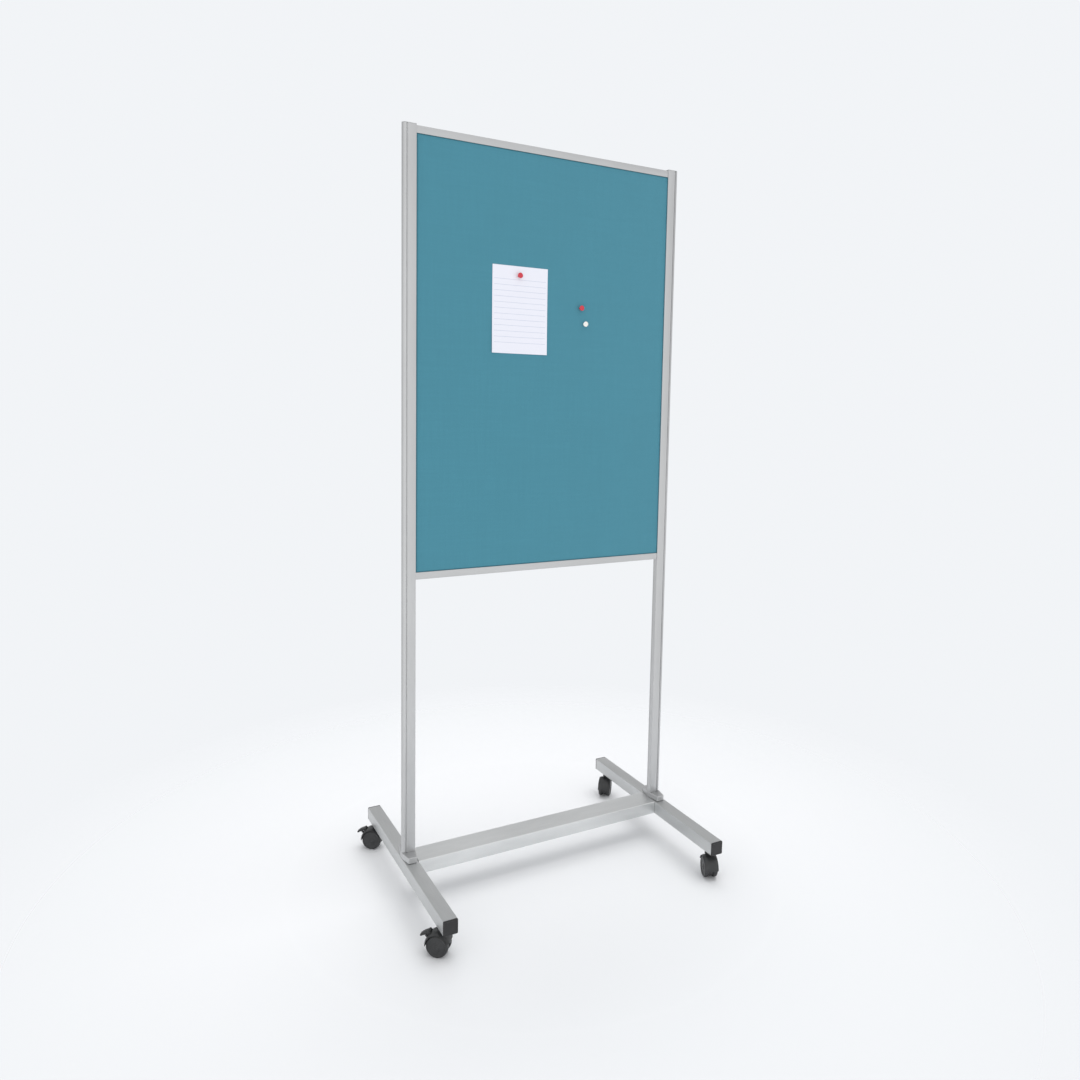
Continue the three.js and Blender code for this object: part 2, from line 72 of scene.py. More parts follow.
POST_HALF_DEPTH = 10.5 * MM
POST_INNER = -18.5 * MM  # across the post, measured outwards from its centre line
POST_NOSE_START = 9.5 * MM
POST_NOSE_REACH = 10 * MM
POST_WALL = 2 * MM
GROOVE_HALF = 6.8 * MM
GROOVE_BOTTOM = -9.5 * MM
FLUTE_PLACE = 5.6 * MM
FLUTE_HALF = 0.7 * MM
FLUTE_DEPTH = 0.8 * MM
BEAD_RISE = 0.35 * MM  # rounded bead between the flute and the nose
STRIP_WALL = 1.5 * MM

TUBE_WALL = 2 * MM
TUBE_CORNER = 3 * MM
RAIL_WALL = 2 * MM
CAP_FLANGE = 4 * MM

SHOE_TOE_Y = 46 * MM
SHOE_TOE_HALF = 12.5 * MM
SHOE_WAIST_Y = 10 * MM
SHOE_HALF = 19.5 * MM
SHOE_EDGE = 2.2 * MM

WHEEL_RADIUS = 30 * MM
CASTOR_OFFSET = 16 * MM
HOOD_INNER = 31.5 * MM
HOOD_OUTER = 35.5 * MM  # at the crown; the side edges are lower
HOOD_EDGE = 32.4 * MM
HOOD_CROWN_HALF = 10 * MM
HOOD_HALF_WIDTH = 21.5 * MM
HOOD_FROM, HOOD_TO = 0, 160  # degrees about the axle
WEB_DISC = 26 * MM  # radius of the plate between the wheels, away from its fan
WEB_HALF = 6.2 * MM
LEVER_ANGLE = 50  # where the brake lever pivots, degrees about the axle
LEVER_REACH = 39.6 * MM
LEVER_HALF_WIDTH = 6 * MM
LUG_INNER = 7 * MM
LUG_OUTER = 9.5 * MM
LUG_RADIUS = 3.9 * MM
PRONG_ANGLE = 36
PRONG_TIP = 31.6 * MM
PRONG_HALF = 2.2 * MM

# ---------------------------------------------------------------- camera

CAMERA_PLACE = Vector((-1.162, -2.314, 1.4413))
CAMERA_AZIMUTH = math.radians(-29.604)
CAMERA_DOWN = math.radians(5.528)
CAMERA_ROLL = math.radians(1.220)
CAMERA_LENS = 28.706
CAMERA_SHIFT = (-0.0423, -0.0509)


def add_camera():
    data = bpy.data.cameras.new("camera")
    data.lens = CAMERA_LENS
    data.shift_x, data.shift_y = CAMERA_SHIFT
    camera = bpy.data.objects.new("camera", data)
    bpy.context.scene.collection.objects.link(camera)
    level = math.cos(CAMERA_DOWN)
    back = Vector((
        math.sin(CAMERA_AZIMUTH) * level, -math.cos(CAMERA_AZIMUTH) * level, math.sin(CAMERA_DOWN),
    ))
    right = Vector((math.cos(CAMERA_AZIMUTH), math.sin(CAMERA_AZIMUTH), 0))
    axes = Matrix((right, back.cross(right), back)).transposed()
    camera.matrix_world = Matrix.LocRotScale(
        CAMERA_PLACE, (axes @ Matrix.Rotation(CAMERA_ROLL, 3, "Z")).to_quaternion(), None,
    )
    bpy.context.scene.camera = camera


# ---------------------------------------------------------------- material helpers


def node(tree, kind, inputs=None, **settings):
    """A new node; each input is given a number, a colour or another node's output."""
    made = tree.nodes.new(kind)
    for name, value in settings.items():
        setattr(made, name, value)
    for name, value in (inputs or {}).items():
        if isinstance(value, bpy.types.NodeSocket):
            tree.links.new(value, made.inputs[name])
        else:
            made.inputs[name].default_value = value
    return made


def start_material(name, **sockets):
    """A material with its shader's own sockets set; underscores stand for spaces."""
    material = bpy.data.materials.new(name)
    material.use_nodes = True
    shader = material.node_tree.nodes["Principled BSDF"]
    for socket, value in sockets.items():
        shader.inputs[socket.replace("_", " ")].default_value = value
    return material, material.node_tree, shader


def stretched_position(tree, scale=(1, 1, 1)):
    place = node(tree, "ShaderNodeTexCoord").outputs["Object"]
    return node(tree, "ShaderNodeMapping", {"Vector": place, "Scale": scale}).outputs["Vector"]


def noise(tree, scale, stretch=(1, 1, 1), detail=2.0, roughness=0.5):
    texture = node(tree, "ShaderNodeTexNoise", {
        "Vector": stretched_position(tree, stretch), "Scale": scale, "Detail": detail,
        "Roughness": roughness,
    })
    return texture.outputs["Fac"]


def remapped(tree, value, low, high, from_low=0.3, from_high=0.7):
    made = node(tree, "ShaderNodeMapRange", {
        "Value": value, "From Min": from_low, "From Max": from_high, "To Min": low, "To Max": high,
    })
    return made.outputs["Result"]


def mixed(tree, share, first, second):
    made = node(tree, "ShaderNodeMix", data_type="RGBA")
    for socket, value in ((made.inputs[0], share), (made.inputs[6], first), (made.inputs[7], second)):
        if isinstance(value, bpy.types.NodeSocket):
            tree.links.new(value, socket)
        else:
            socket.default_value = value
    return made.outputs[2]


def arithmetic(tree, operation, first, second=0.0):
    made = node(tree, "ShaderNodeMath", operation=operation)
    for socket, value in zip(made.inputs, (first, second)):
        if isinstance(value, bpy.types.NodeSocket):
            tree.links.new(value, socket)
        else:
            socket.default_value = value
    return made.outputs[0]


def bump(tree, shader, height, distance, strength=1.0):
    made = node(tree, "ShaderNodeBump", {
        "Height": height, "Distance": distance, "Strength": strength,
    })
    tree.links.new(made.outputs["Normal"], shader.inputs["Normal"])


def shade(colour, factor):
    return tuple(min(1.0, part * factor) for part in colour[:3]) + (1.0,)


# ---------------------------------------------------------------- materials

LONG = 0.012  # how far a drawn line is stretched along its metal


def satin_metal(name, colour, roughness, along, blotch):
    """Extruded or drawn metal: fine lines along one axis over slow, cloudy patches."""
    material, tree, shader = start_material(name, Metallic=1.0)
    stretch = tuple(LONG if axis == along else 1.0 for axis in "XYZ")
    lines = noise(tree, 1900, stretch, 3.0, 0.6)
    clouds = noise(tree, 9, tuple(0.35 if axis == along else 1.6 for axis in "XYZ"), 3.0)
    patched = mixed(tree, remapped(tree, clouds, 0, 1), shade(colour, 1 - blotch), shade(colour, 1 + blotch))
    drawn = mixed(tree, remapped(tree, lines, 0, 0.22), patched, shade(colour, 0.72))
    tree.links.new(drawn, shader.inputs["Base Color"])
    rough = arithmetic(
        tree, "ADD", remapped(tree, lines, roughness - 0.05, roughness + 0.07),
        remapped(tree, clouds, -0.03, 0.05),
    )
    tree.links.new(rough, shader.inputs["Roughness"])
    bump(tree, shader, lines, 0.00004, 0.6)
    return material


def zinc_plate():
    material, tree, shader = start_material("zinc_plate", Metallic=1.0)
    spangle = noise(tree, 420, detail=4.0)
    hue = mixed(tree, remapped(tree, spangle, 0, 1), (0.44, 0.45, 0.47, 1), (0.6, 0.61, 0.62, 1))
    tree.links.new(hue, shader.inputs["Base Color"])
    tree.links.new(remapped(tree, spangle, 0.24, 0.42), shader.inputs["Roughness"])
    return material


def moulded_plastic(name, colour, roughness, grain=2600, depth=0.00003, coat=0.0):
    """Injection-moulded plastic with fine spark grain, slight dusting and paler rubbed patches."""
    material, tree, shader = start_material(name, Coat_Weight=coat, Coat_Roughness=0.2, IOR=1.5)
    speckle = noise(tree, grain, detail=2.0)
    rubbed = noise(tree, 55, detail=5.0, roughness=0.6)
    worn = mixed(tree, remapped(tree, rubbed, 0, 1, 0.45, 0.75), shade(colour, 0.9), shade(colour, 1.3))
    tree.links.new(worn, shader.inputs["Base Color"])
    rough = arithmetic(
        tree, "ADD", remapped(tree, rubbed, roughness + 0.06, roughness - 0.06),
        remapped(tree, speckle, -0.04, 0.04),
    )
    tree.links.new(rough, shader.inputs["Roughness"])
    bump(tree, shader, speckle, depth)
    return material


THREAD = 0.9 * MM
TEAL = (0.081, 0.299, 0.394)
EDGE_SHADE_REACH = 6.5 * MM  # how far the painted shade at the cloth's edge reaches in from the lip that covers it


def painted_edge_shade(tree, parts, colour):
    """Painted shade: darkens the cloth's colour where it turns in under the left post's lip and the two
    rails, standing for the shade that falls there.
    """
    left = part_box("left_post")[1].x
    low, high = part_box("bottom_rail")[1].z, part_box("top_rail")[0].z
    from_left = arithmetic(tree, "SUBTRACT", parts["X"], left)
    from_rails = arithmetic(
        tree, "MINIMUM", arithmetic(tree, "SUBTRACT", parts["Z"], low),
        arithmetic(tree, "SUBTRACT", high, parts["Z"]),
    )
    nearest = arithmetic(tree, "MINIMUM", from_left, arithmetic(tree, "MULTIPLY", from_rails, 2.0))
    # the teal is mixed towards a much darker teal near these edges: painted shade
    return mixed(tree, remapped(tree, nearest, 0.75, 0, 0.3 * EDGE_SHADE_REACH, EDGE_SHADE_REACH), colour, shade(TEAL, 0.4))


def woven_fabric():
    """Fine plain weave: warp and weft threads cross over each other, with slubs and fuzz."""
    material, tree, shader = start_material(
        "teal_weave", Roughness=0.95, Sheen_Weight=0.25, Sheen_Roughness=0.5, Specular_IOR_Level=0.2,
    )
    place = stretched_position(tree)
    parts = node(tree, "ShaderNodeSeparateXYZ", {"Vector": place}).outputs
    turn = math.pi / THREAD
    across = arithmetic(tree, "SINE", arithmetic(tree, "MULTIPLY", parts["X"], turn))
    upward = arithmetic(tree, "SINE", arithmetic(tree, "MULTIPLY", parts["Z"], turn))
    over = arithmetic(tree, "MULTIPLY", across, upward)
    ribs = arithmetic(
        tree, "MULTIPLY", arithmetic(tree, "ABSOLUTE", across), arithmetic(tree, "ABSOLUTE", upward),
    )
    height = arithmetic(tree, "ADD", arithmetic(tree, "MULTIPLY", over, 0.35), ribs)
    warp_slubs = noise(tree, 260, (1.0, 1.0, 0.03), 2.0)
    weft_slubs = noise(tree, 260, (0.03, 1.0, 1.0), 2.0)
    slubs = arithmetic(tree, "ADD", warp_slubs, weft_slubs)
    mottle = noise(tree, 5, (1.0, 1.0, 0.7), 3.0, 0.5)
    base = mixed(tree, remapped(tree, mottle, 0, 1), shade(TEAL, 0.975), shade(TEAL, 1.025))
    threaded = mixed(tree, remapped(tree, height, 0, 1, 0.1, 1.0), shade(TEAL, 0.78), base)
    slubbed = mixed(tree, remapped(tree, slubs, 0, 0.06, 0.9, 1.25), threaded, shade(TEAL, 1.4))
    # the cloth's colour carries painted shade along its left, top and bottom edges
    tree.links.new(painted_edge_shade(tree, parts, slubbed), shader.inputs["Base Color"])
    fuzz = noise(tree, 2400, detail=2.0)
    bump(
        tree, shader,
        arithmetic(tree, "ADD", height, arithmetic(tree, "MULTIPLY", fuzz, 0.6)), 0.00022, 0.8,
    )
    return material


def pressed_fibre():
    material, tree, shader = start_material("pressed_fibre", Roughness=0.92)
    flecks = noise(tree, 900, (1.0, 1.0, 0.4), 4.0, 0.7)
    hue = mixed(tree, remapped(tree, flecks, 0, 1), (0.36, 0.26, 0.15, 1), (0.6, 0.48, 0.31, 1))
    tree.links.new(hue, shader.inputs["Base Color"])
    bump(tree, shader, flecks, 0.0002)
    return material


def dry_wipe_enamel():
    """Gloss white enamel with the orange peel of its baking and faint wiped smears."""
    material, tree, shader = start_material("dry_wipe_enamel", Coat_Weight=0.6, Coat_Roughness=0.05)
    smears = noise(tree, 5, (0.5, 1.0, 2.2), 5.0, 0.6)
    hue = mixed(tree, remapped(tree, smears, 0, 1), (0.80, 0.81, 0.82, 1), (0.86, 0.865, 0.87, 1))
    tree.links.new(hue, shader.inputs["Base Color"])
    tree.links.new(remapped(tree, smears, 0.12, 0.26), shader.inputs["Roughness"])
    bump(tree, shader, noise(tree, 240, detail=1.0), 0.00002)
    return material


RULE_SPACING = 16.4 * MM
RULE_SHARE = 0.055  # how much of the spacing a line takes
HEAD_MARGIN, FOOT_MARGIN = 38 * MM, 27 * MM


def ruled_paper(paper_low, paper_high):
    """Writing paper: fibre mottle, with pale ruled lines below a blank head."""
    material, tree, shader = start_material("ruled_paper", Roughness=0.88)
    parts = node(tree, "ShaderNodeSeparateXYZ", {"Vector": stretched_position(tree)}).outputs
    from_head = arithmetic(tree, "SUBTRACT", paper_high.z - HEAD_MARGIN, parts["Z"])
    turns = arithmetic(tree, "FRACT", arithmetic(tree, "DIVIDE", from_head, RULE_SPACING))
    on_line = arithmetic(tree, "LESS_THAN", turns, RULE_SHARE)
    below_head = arithmetic(
        tree, "MULTIPLY", arithmetic(tree, "GREATER_THAN", from_head, 0.0),
        arithmetic(tree, "GREATER_THAN", parts["Z"], paper_low.z + FOOT_MARGIN),
    )
    edge = 6 * MM
    inside = arithmetic(
        tree, "MULTIPLY", arithmetic(tree, "GREATER_THAN", parts["X"], paper_low.x + edge),
        arithmetic(tree, "LESS_THAN", parts["X"], paper_high.x - edge),
    )
    ruled = arithmetic(tree, "MULTIPLY", arithmetic(tree, "MULTIPLY", on_line, below_head), inside)
    fibres = noise(tree, 700, detail=4.0)
    sheet = mixed(tree, remapped(tree, fibres, 0, 1), (0.78, 0.79, 0.88, 1), (0.84, 0.85, 0.92, 1))
    inked = mixed(tree, arithmetic(tree, "MULTIPLY", ruled, 0.75), sheet, (0.42, 0.47, 0.62, 1))
    tree.links.new(inked, shader.inputs["Base Color"])
    bump(tree, shader, fibres, 0.00004)
    return material


def pin_plastic(name, colour):
    """Translucent gloss plastic, clouded a little inside."""
    material, tree, shader = start_material(
        name, Roughness=0.18, Coat_Weight=0.5, Coat_Roughness=0.06, Subsurface_Weight=0.15,
        Subsurface_Scale=0.003,
    )
    clouds = noise(tree, 260, detail=2.0)
    hue = mixed(tree, remapped(tree, clouds, 0, 1), shade(colour, 0.86), shade(colour, 1.1))
    tree.links.new(hue, shader.inputs["Base Color"])
    return material


ALUMINIUM = (0.54, 0.545, 0.55)
SILVER = (0.58, 0.59, 0.59)
paper_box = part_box("note_paper")
look = {
    "aluminium_up": satin_metal("aluminium_up", ALUMINIUM, 0.36, "Z", 0.05),
    "aluminium_across": satin_metal("aluminium_across", ALUMINIUM, 0.36, "X", 0.05),
    "cast_aluminium": satin_metal("cast_aluminium", (0.56, 0.565, 0.57), 0.42, "Y", 0.08),
    "silver_foot": satin_metal("silver_foot", SILVER, 0.40, "Y", 0.09),
    # the beam's silver is the foot's silver painted 1.3 times brighter: painted light for its lit top, not a
    # different finish
    "silver_beam_painted_light": satin_metal("silver_beam_painted_light", shade(SILVER, 1.3), 0.40, "X", 0.09),
    "zinc": zinc_plate(),
    "black_plastic": moulded_plastic("black_plastic", (0.016, 0.016, 0.017), 0.42),
    "castor_grey": moulded_plastic("castor_grey", (0.028, 0.029, 0.030), 0.40, 1500),
    "grey_plastic": moulded_plastic("grey_plastic", (0.5, 0.51, 0.515), 0.45),
    "fabric": woven_fabric(),
    "fibre": pressed_fibre(),
    "enamel": dry_wipe_enamel(),
    "paper": ruled_paper(*paper_box),
    "pin_red": pin_plastic("pin_red", (0.60, 0.012, 0.035)),
    "pin_white": pin_plastic("pin_white", (0.85, 0.84, 0.80)),
}

# ---------------------------------------------------------------- mesh helpers

CRISP = math.radians(32)  # edges sharper than this stay crisp, or are bevelled


def make_piece(name, bm, material, edge=0.0, edge_steps=3):
    """Mesh object from bm, smooth but for its crisp edges, which are rounded if edge is above 0."""
    bmesh.ops.recalc_face_normals(bm, faces=bm.faces)
    for face in bm.faces:
        face.smooth = True
    for seam in bm.edges:
        seam.smooth = len(seam.link_faces) == 2 and seam.calc_face_angle(0) < CRISP
    mesh = bpy.data.meshes.new(name)
    bm.to_mesh(mesh)
    bm.free()
    mesh.materials.append(look[material])
    piece = bpy.data.objects.new(name, mesh)
    bpy.context.scene.collection.objects.link(piece)
    if edge:
        rounding = piece.modifiers.new("rounded edges", "BEVEL")
        rounding.width = edge
        rounding.segments = edge_steps
        rounding.limit_method = "ANGLE"
        rounding.angle_limit = CRISP
        rounding.harden_normals = True
        rounding.use_clamp_overlap = False
    return piece


def place(piece, body, slot, *nodes):
    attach(piece, body)
    if nodes:
        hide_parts(*nodes)
    return piece


def rounded(corners, steps=4):
    """Closed outline through (x, y, radius) corners, each turned into an arc of that radius."""
    points = []
    count = len(corners)
    for i, (x, y, radius) in enumerate(corners):
        here = Vector((x, y))
        if radius <= 0:
            points.append(here)
            continue
        before = (Vector(corners[i - 1][:2]) - here).normalized()
        after = (Vector(corners[(i + 1) % count][:2]) - here).normalized()
        half = before.angle(after) / 2
        run = radius / math.tan(half)
        middle = here + (before + after).normalized() * (radius / math.sin(half))
        start, end = here + before * run - middle, here + after * run - middle
        sweep = start.angle_signed(end)
        for step in range(steps + 1):
            turn = -sweep * step / steps
            points.append(middle + Matrix.Rotation(turn, 2) @ start)
    return [tuple(point) for point in points]


def box_outline(x_low, x_high, y_low, y_high, radius, steps=6):
    corners = [(x_high, y_low), (x_high, y_high), (x_low, y_high), (x_low, y_low)]
    return rounded([(x, y, radius) for x, y in corners], steps)


# which way a section's own x, y and run point
UPRIGHT = Matrix.Identity(4)
ALONG_X = Matrix(((0, 0, 1, 0), (1, 0, 0, 0), (0, 1, 0, 0), (0, 0, 0, 1)))  # section in Y and Z
ALONG_Y = Matrix(((1, 0, 0, 0), (0, 0, 1, 0), (0, 1, 0, 0), (0, 0, 0, 1)))  # section in X and Z


def add_prism(bm, loops, low, high, turn=UPRIGHT):
    """Adds a section run from low to high; the first loop is its outline, the others are holes."""
    rings = []
    for end in (low, high):
        rings.append([[bm.verts.new(turn @ Vector((x, y, end))) for x, y in loop] for loop in loops])
    for near, far in zip(*rings):
        for i, vertex in enumerate(near):
            j = (i + 1) % len(near)
            bm.faces.new((vertex, near[j], far[j], far[i]))
    for ring in rings:
        if len(loops) == 1:
            bm.faces.new(ring[0])
            continue
        rims = [bm.edges.get((loop[i - 1], loop[i])) for loop in ring for i in range(len(loop))]
        bmesh.ops.triangle_fill(bm, use_beauty=True, edges=rims)


def add_turned(bm, profile, place_point, steps=48):
    """Adds a profile of (radius, height) turned about its axis; place_point maps local x, y, z."""
    rings = []
    for radius, height in profile:
        if radius == 0:
            rings.append([bm.verts.new(place_point @ Vector((0, 0, height)))])
            continue
        rings.append([
            bm.verts.new(place_point @ Vector((
                radius * math.cos(2 * math.pi * k / steps),
                radius * math.sin(2 * math.pi * k / steps),
                height,
            ))) for k in range(steps)
        ])
    for below, above in zip(rings, rings[1:]):
        for k in range(steps):
            j = (k + 1) % steps
            corners = [
                below[k % len(below)], below[j % len(below)],
                above[j % len(above)], above[k % len(above)],
            ]
            distinct = list(dict.fromkeys(corners))
            if len(distinct) > 2:
                bm.faces.new(distinct)


def in_mm(points):
    return [tuple(value * MM for value in point) for point in points]


# ---------------------------------------------------------------- base


def build_foot(side):
    tube = f"{side}_foot_tube"
    low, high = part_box(tube)
    bm = bmesh.new()
    outer = box_outline(low.x, high.x, low.z, high.z, TUBE_CORNER)
    inner = box_outline(
        low.x + TUBE_WALL, high.x - TUBE_WALL, low.z + TUBE_WALL, high.z - TUBE_WALL,
        TUBE_CORNER - TUBE_WALL,
    )
    add_prism(bm, [outer, inner], low.y, high.y, ALONG_Y)
    place(make_piece(f"{side}_foot", bm, "silver_foot"), "root", "silver_paint", tube)


def build_end_cap(side, end):
    """Press-in cap: a rounded flange with a shallow dished panel, and the plug behind it."""
    cad_node = f"{side}_foot_{end}_cap"
    low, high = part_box(cad_node)
    outward = -1 if end == "front" else 1
    face = low.y if end == "front" else high.y
    middle_x, middle_z, half = (low.x + high.x) / 2, (low.z + high.z) / 2, (high.x - low.x) / 2

    def square(half_size, radius):
        return box_outline(
            middle_x - half_size, middle_x + half_size, middle_z - half_size, middle_z + half_size, radius,
        )

    bm = bmesh.new()
    dish, rim = 0.7 * MM, 3.2 * MM
    levels = [
        (half - 2.6 * MM, 0.8 * MM, CAP_FLANGE + 9 * MM), (half - 2.3 * MM, 1 * MM, CAP_FLANGE + 0.2 * MM),
        (half, TUBE_CORNER, CAP_FLANGE), (half, TUBE_CORNER, 1 * MM),
        (half - 0.3 * MM, TUBE_CORNER - 0.3 * MM, 0.3 * MM), (half - 1 * MM, TUBE_CORNER - 1 * MM, 0),
        (half - rim, 2 * MM, 0), (half - rim - 0.8 * MM, 1.6 * MM, dish),
    ]
    rings = []
    for size, radius, depth in levels:
        y = face - outward * depth
        rings.append([bm.verts.new((x, y, z)) for x, z in square(size, radius)])
    for near, far in zip(rings, rings[1:]):
        for i in range(len(near)):
            j = (i + 1) % len(near)
            bm.faces.new((near[i], near[j], far[j], far[i]))
    bm.faces.new(rings[0])
    bm.faces.new(rings[-1])
    place(make_piece(f"{side}_foot_{end}_plug", bm, "black_plastic"), "root", "black_plastic", cad_node)


def build_beam():
    low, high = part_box("cross_beam")
    bm = bmesh.new()
    outer = box_outline(low.y, high.y, low.z, high.z, TUBE_CORNER)
    inner = box_outline(
        low.y + TUBE_WALL, high.y - TUBE_WALL, low.z + TUBE_WALL, high.z - TUBE_WALL,
        TUBE_CORNER - TUBE_WALL,
    )
    add_prism(bm, [outer, inner], low.x, high.x, ALONG_X)
    # the beam takes the brightened copy of the foot silver, which is painted light
    place(make_piece("beam", bm, "silver_beam_painted_light"), "root", "silver_paint", "cross_beam")


def build_shoe(side):
    """Tapered block under the post, its top and bottom edges well rounded."""
    cad_node = f"{side}_post_shoe"
    low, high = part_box(cad_node)
    middle = (low.x + high.x) / 2
    plan = rounded([
        (middle + SHOE_TOE_HALF, -SHOE_TOE_Y, 3 * MM), (middle + SHOE_HALF, -SHOE_WAIST_Y, 5 * MM),
        (middle + SHOE_HALF, SHOE_WAIST_Y, 5 * MM), (middle + SHOE_TOE_HALF, SHOE_TOE_Y, 3 * MM),
        (middle - SHOE_TOE_HALF, SHOE_TOE_Y, 3 * MM), (middle - SHOE_HALF, SHOE_WAIST_Y, 5 * MM),
        (middle - SHOE_HALF, -SHOE_WAIST_Y, 5 * MM), (middle - SHOE_TOE_HALF, -SHOE_TOE_Y, 3 * MM),
    ], 5)
    bm = bmesh.new()
    add_prism(bm, [plan], low.z, high.z)
    piece = make_piece(f"{side}_shoe", bm, "cast_aluminium", SHOE_EDGE, 4)
    place(piece, "root", "aluminium", cad_node)


# ---------------------------------------------------------------- posts


def post_outline(outward):
    """Section of a post about its own centre line, from the groove round the nose and back."""
    bead_middle = (FLUTE_PLACE + FLUTE_HALF + POST_NOSE_START) / 2
    front = [
        (GROOVE_BOTTOM, -GROOVE_HALF, 0.3 * MM), (POST_INNER, -GROOVE_HALF, 0.35 * MM),
        (POST_INNER, -POST_HALF_DEPTH, 0.6 * MM), (FLUTE_PLACE - FLUTE_HALF, -POST_HALF_DEPTH, 0.15 * MM),
        (FLUTE_PLACE, -POST_HALF_DEPTH + FLUTE_DEPTH, 0.15 * MM),
        (FLUTE_PLACE + FLUTE_HALF, -POST_HALF_DEPTH, 0.15 * MM),
        (bead_middle, -POST_HALF_DEPTH - BEAD_RISE, 2.5 * MM),
    ]
    flat = rounded(front + [(x, -y, r) for x, y, r in reversed(front)])
    share = len(flat) // 2
    nose = []
    steps = 32
    for i in range(steps + 1):
        angle = -math.pi / 2 + math.pi * i / steps
        nose.append((
            POST_NOSE_START + POST_NOSE_REACH * math.cos(angle), POST_HALF_DEPTH * math.sin(angle),
        ))
    section = flat[:share] + nose + flat[share:]
    return [(outward * x, y) for x, y in section]


def post_hollow(outward):
    start, half = GROOVE_BOTTOM + POST_WALL, POST_HALF_DEPTH - POST_WALL
    steps = 20
    points = [(start, half), (start, -half)]
    for i in range(steps + 1):
        angle = -math.pi / 2 + math.pi * i / steps
        points.append((
            POST_NOSE_START + (POST_NOSE_REACH - POST_WALL) * math.cos(angle), half * math.sin(angle),
        ))
    return [(outward * x, y) for x, y in points]


def build_post(side):
    cad_node = f"{side}_post"
    outward = 1 if side == "right" else -1
    low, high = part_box(cad_node)
    inner_face = low.x if side == "right" else high.x
    centre = inner_face - outward * POST_INNER
    loops = [[(centre + x, y) for x, y in loop] for loop in (post_outline(outward), post_hollow(outward))]
    bm = bmesh.new()
    add_prism(bm, loops, low.z, high.z)
    place(make_piece(f"{side}_upright", bm, "aluminium_up"), "root", "aluminium", cad_node)

    strip = f"{side}_groove_strip"
    if strip in frame["nodes"]:
        low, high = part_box(strip)
        face, leg_end = (low.x, high.x) if side == "right" else (high.x, low.x)
        web = face + outward * STRIP_WALL
        inner = high.y - STRIP_WALL
        section = rounded([
            (face, low.y, 0.4 * MM), (leg_end, low.y, 0), (leg_end, -inner, 0), (web, -inner, 0),
            (web, inner, 0), (leg_end, inner, 0), (leg_end, high.y, 0), (face, high.y, 0.4 * MM),
        ])
        bm = bmesh.new()
        add_prism(bm, [section], low.z, high.z)
        place(make_piece(f"{side}_infill", bm, "aluminium_up"), "root", "aluminium", strip)

    cap = f"{side}_post_cap"
    low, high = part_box(cap)
    lid = [(centre + x, y) for x, y in rounded([
        (outward * POST_INNER, POST_HALF_DEPTH, 0.6 * MM),
        (outward * POST_INNER, -POST_HALF_DEPTH, 0.6 * MM),
    ] + [(outward * (POST_NOSE_START + POST_NOSE_REACH * math.cos(a)), POST_HALF_DEPTH * math.sin(a), 0)
         for a in (-math.pi / 2 + math.pi * i / 32 for i in range(33))])]
    bm = bmesh.new()
    lid_bottom = high.z - 1.7 * MM
    add_prism(bm, [lid], lid_bottom, high.z)
    tongue = box_outline(
        centre + min(outward * -7, outward * 9.5) * MM, centre + max(outward * -7, outward * 9.5) * MM,
        -8 * MM, 8 * MM, 1 * MM,
    )
    add_prism(bm, [tongue], low.z, lid_bottom + 0.2 * MM)
    place(make_piece(f"{side}_lid", bm, "grey_plastic", 0.35 * MM, 2), "root", "grey_plastic", cap)


# ---------------------------------------------------------------- board


def build_rail(name):
    cad_node = f"{name}_rail"
    low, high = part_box(cad_node)
    web, lips = (low.z, high.z) if name == "bottom" else (high.z, low.z)
    inward = 1 if name == "bottom" else -1
    floor_z = web + inward * RAIL_WALL
    inner = high.y - RAIL_WALL
    section = rounded([
        (low.y, web, 0.8 * MM), (high.y, web, 0.8 * MM), (high.y, lips, 0.5 * MM), (inner, lips, 0.5 * MM),
        (inner, floor_z, 0.3 * MM), (-inner, floor_z, 0.3 * MM), (-inner, lips, 0.5 * MM),
        (low.y, lips, 0.5 * MM),
    ])
    bm = bmesh.new()
    add_prism(bm, [section], low.x, high.x, ALONG_X)
    place(make_piece(f"{name}_channel", bm, "aluminium_across"), "root", "aluminium", cad_node)


FABRIC_CELL = 12 * MM
FABRIC_WAVE = 0.07 * MM


def build_fabric():
    """The stretched cloth: a fine grid that the frame pulls almost flat, 0.8 mm thick."""
    low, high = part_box("pinboard_fabric")
    across = round((high.x - low.x) / FABRIC_CELL)
    upward = round((high.z - low.z) / FABRIC_CELL)
    bm = bmesh.new()
    rows = []
    for j in range(upward + 1):
        z = low.z + (high.z - low.z) * j / upward
        row = []
        for i in range(across + 1):
            x = low.x + (high.x - low.x) * i / across
            wave = math.sin(x * 23 + 1.3) * math.sin(z * 17 + 0.4) + 0.5 * math.sin(x * 61 + z * 47)
            row.append(bm.verts.new((x, low.y + FABRIC_WAVE * (1.5 + wave), z)))
        rows.append(row)
    for below, above in zip(rows, rows[1:]):
        for i in range(across):
            bm.faces.new((below[i], below[i + 1], above[i + 1], above[i]))
    cloth = make_piece("fabric_cover", bm, "fabric")
    thickness = cloth.modifiers.new("thickness", "SOLIDIFY")
    thickness.thickness = 0.6 * MM
    thickness.offset = -1
    place(cloth, "root", "teal_fabric", "pinboard_fabric")


CURL = 2.4 * MM  # how far the note's lower corners lift off the fabric


